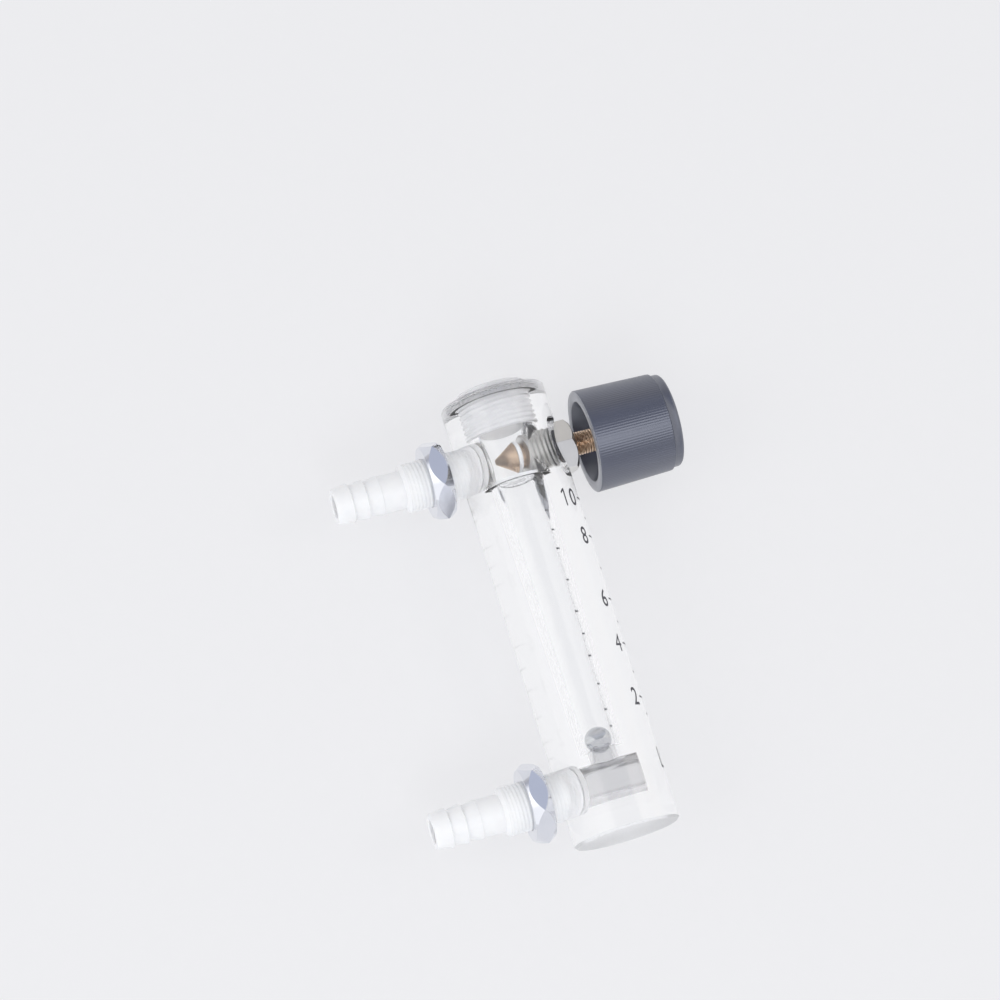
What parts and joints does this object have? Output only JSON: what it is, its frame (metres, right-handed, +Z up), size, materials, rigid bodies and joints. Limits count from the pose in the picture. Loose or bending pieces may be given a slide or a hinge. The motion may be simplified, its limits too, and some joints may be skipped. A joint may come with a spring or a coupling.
{
  "type": "panel rotameter",
  "caption": "Clear acrylic panel flow meter: a ball float rises in a tapered bore, a front knob turns the needle valve, and two barbed fittings leave at the back.",
  "frame": {"origin": "centre of the body's bottom face, on the float bore's axis", "axes": "+Z up the float bore, +X out of the front through the valve knob, -X out of the back along the hose fittings"},
  "size_m": [0.0857, 0.026, 0.1135],
  "materials": {
    "clear_acrylic": "clear polished acrylic",
    "plug_acrylic": "clear machined acrylic, slightly hazy on the thread",
    "seal_rubber": "dark nitrile rubber",
    "stop_plastic": "white plastic",
    "ball_steel": "polished stainless steel",
    "white_nylon": "white translucent nylon",
    "nut_chrome": "bright nickel plating",
    "bonnet_nickel": "satin nickel plating",
    "stem_brass": "bright turned brass",
    "knob_plastic": "charcoal moulded plastic"
  },
  "bodies": {
    "meter": {"flow_body": "clear_acrylic", "top_plug": "plug_acrylic", "top_plug_seal": "seal_rubber", "float_stop": "stop_plastic", "outlet_fitting": "white_nylon", "outlet_seal": "seal_rubber", "outlet_nut": "nut_chrome", "inlet_fitting": "white_nylon", "inlet_seal": "seal_rubber", "inlet_nut": "nut_chrome", "valve_bonnet": "bonnet_nickel", "bonnet_washer": "seal_rubber", "stem_packing": "seal_rubber"},
    "float": {"float_ball": "ball_steel"},
    "needle": {"needle_stem": "stem_brass"},
    "knob": {"knob": "knob_plastic", "knob_bush": "stem_brass"}
  },
  "joints": [
    {"name": "float_travel", "type": "slide", "parent": "meter", "child": "float", "axis": [0, 0, 1], "range_m": [0, 0.0633]},
    {"name": "needle_travel", "type": "slide", "parent": "meter", "child": "needle", "axis": [1, 0, 0], "range_m": [-0.0042, 0.00034]},
    {"name": "knob_turn", "type": "hinge", "parent": "needle", "child": "knob", "pos_m": [0.0299, 0, 0.095], "axis": [1, 0, 0], "range_deg": [-2120, 180]}
  ],
  "couplings": [
    {"joint": "needle_travel", "follows": "knob_turn", "m_per_rad": 0.00010106}
  ]
}
